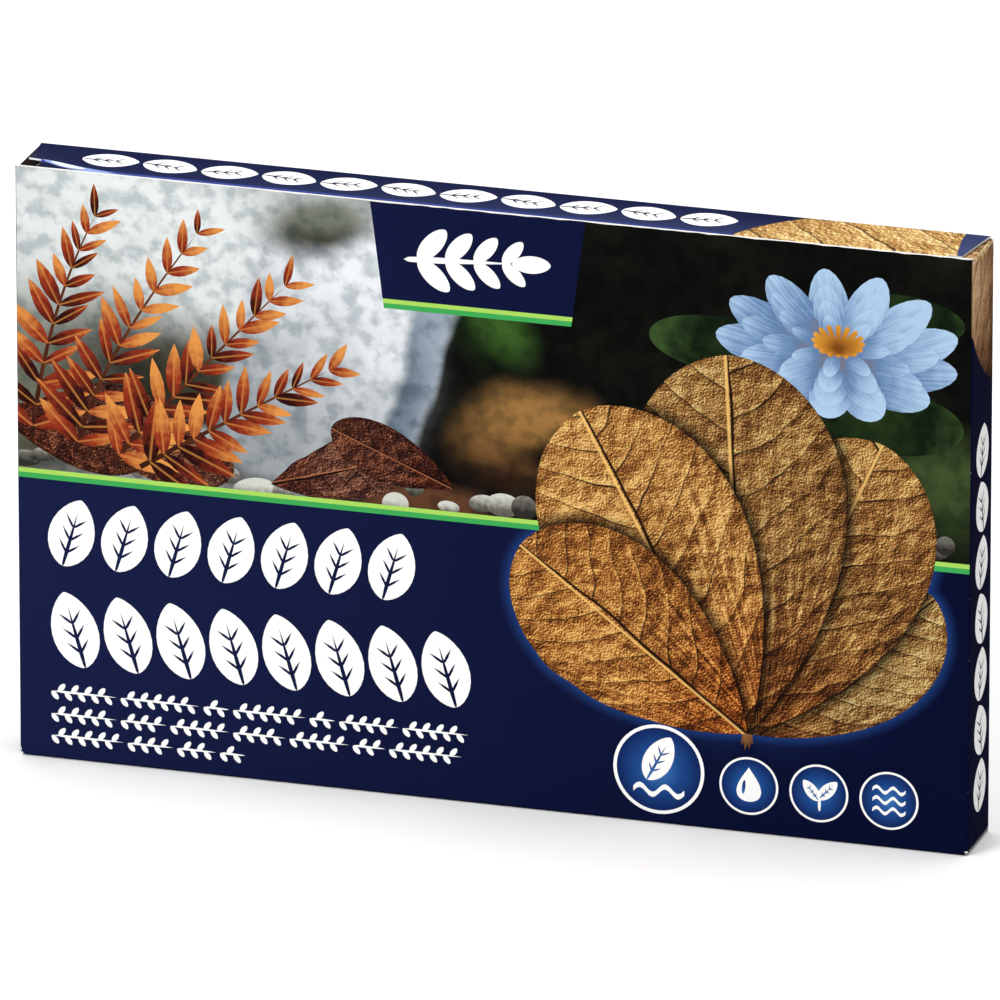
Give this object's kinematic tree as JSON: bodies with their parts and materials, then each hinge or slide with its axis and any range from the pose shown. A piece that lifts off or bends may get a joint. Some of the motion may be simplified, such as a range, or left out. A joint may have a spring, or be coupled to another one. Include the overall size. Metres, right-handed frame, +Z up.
{
  "type": "flat folding carton of dried leaves",
  "caption": "Slim upright boxboard carton with tuck-in closures and dust flaps at both ends, holding a stack of dried broad leaves.",
  "frame": {"origin": "middle of the underside, on the outer face of the bottom closure", "axes": "+Z up, the front wall faces -Y, +X to the right as seen from the front"},
  "size_m": [0.26, 0.02, 0.164],
  "materials": {
    "printed_board": "satin",
    "dried_leaf": "matte"
  },
  "bodies": {
    "carton": {"sleeve": "printed_board", "leaf_01": "dried_leaf", "leaf_02": "dried_leaf", "leaf_03": "dried_leaf", "leaf_04": "dried_leaf", "leaf_05": "dried_leaf", "leaf_06": "dried_leaf", "leaf_07": "dried_leaf", "leaf_08": "dried_leaf", "leaf_09": "dried_leaf", "leaf_10": "dried_leaf", "leaf_11": "dried_leaf", "leaf_12": "dried_leaf"},
    "top_lid": {"top_closure": "printed_board"},
    "top_left_dust": {"top_left_dust_flap": "printed_board"},
    "top_right_dust": {"top_right_dust_flap": "printed_board"},
    "bottom_lid": {"bottom_closure": "printed_board"},
    "bottom_left_dust": {"bottom_left_dust_flap": "printed_board"},
    "bottom_right_dust": {"bottom_right_dust_flap": "printed_board"}
  },
  "joints": [
    {"name": "top_lid_hinge", "type": "hinge", "parent": "carton", "child": "top_lid", "pos_m": [0, 0.00975, 0.16375], "axis": [-1, 0, 0], "range_deg": [0, 200]},
    {"name": "top_left_dust_hinge", "type": "hinge", "parent": "carton", "child": "top_left_dust", "pos_m": [-0.12975, 0, 0.16295], "axis": [0, -1, 0], "range_deg": [0, 84]},
    {"name": "top_right_dust_hinge", "type": "hinge", "parent": "carton", "child": "top_right_dust", "pos_m": [0.12975, 0, 0.16295], "axis": [0, 1, 0], "range_deg": [0, 84]},
    {"name": "bottom_lid_hinge", "type": "hinge", "parent": "carton", "child": "bottom_lid", "pos_m": [0, -0.00975, 0.00025], "axis": [-1, 0, 0], "range_deg": [0, 200]},
    {"name": "bottom_left_dust_hinge", "type": "hinge", "parent": "carton", "child": "bottom_left_dust", "pos_m": [-0.12975, 0, 0.00105], "axis": [0, 1, 0], "range_deg": [0, 84]},
    {"name": "bottom_right_dust_hinge", "type": "hinge", "parent": "carton", "child": "bottom_right_dust", "pos_m": [0.12975, 0, 0.00105], "axis": [0, -1, 0], "range_deg": [0, 84]}
  ],
  "couplings": [
    {"joint": "top_left_dust_hinge", "follows": "top_lid_hinge", "ratio": 0.42},
    {"joint": "top_right_dust_hinge", "follows": "top_lid_hinge", "ratio": 0.42},
    {"joint": "bottom_left_dust_hinge", "follows": "bottom_lid_hinge", "ratio": 0.42},
    {"joint": "bottom_right_dust_hinge", "follows": "bottom_lid_hinge", "ratio": 0.42}
  ]
}
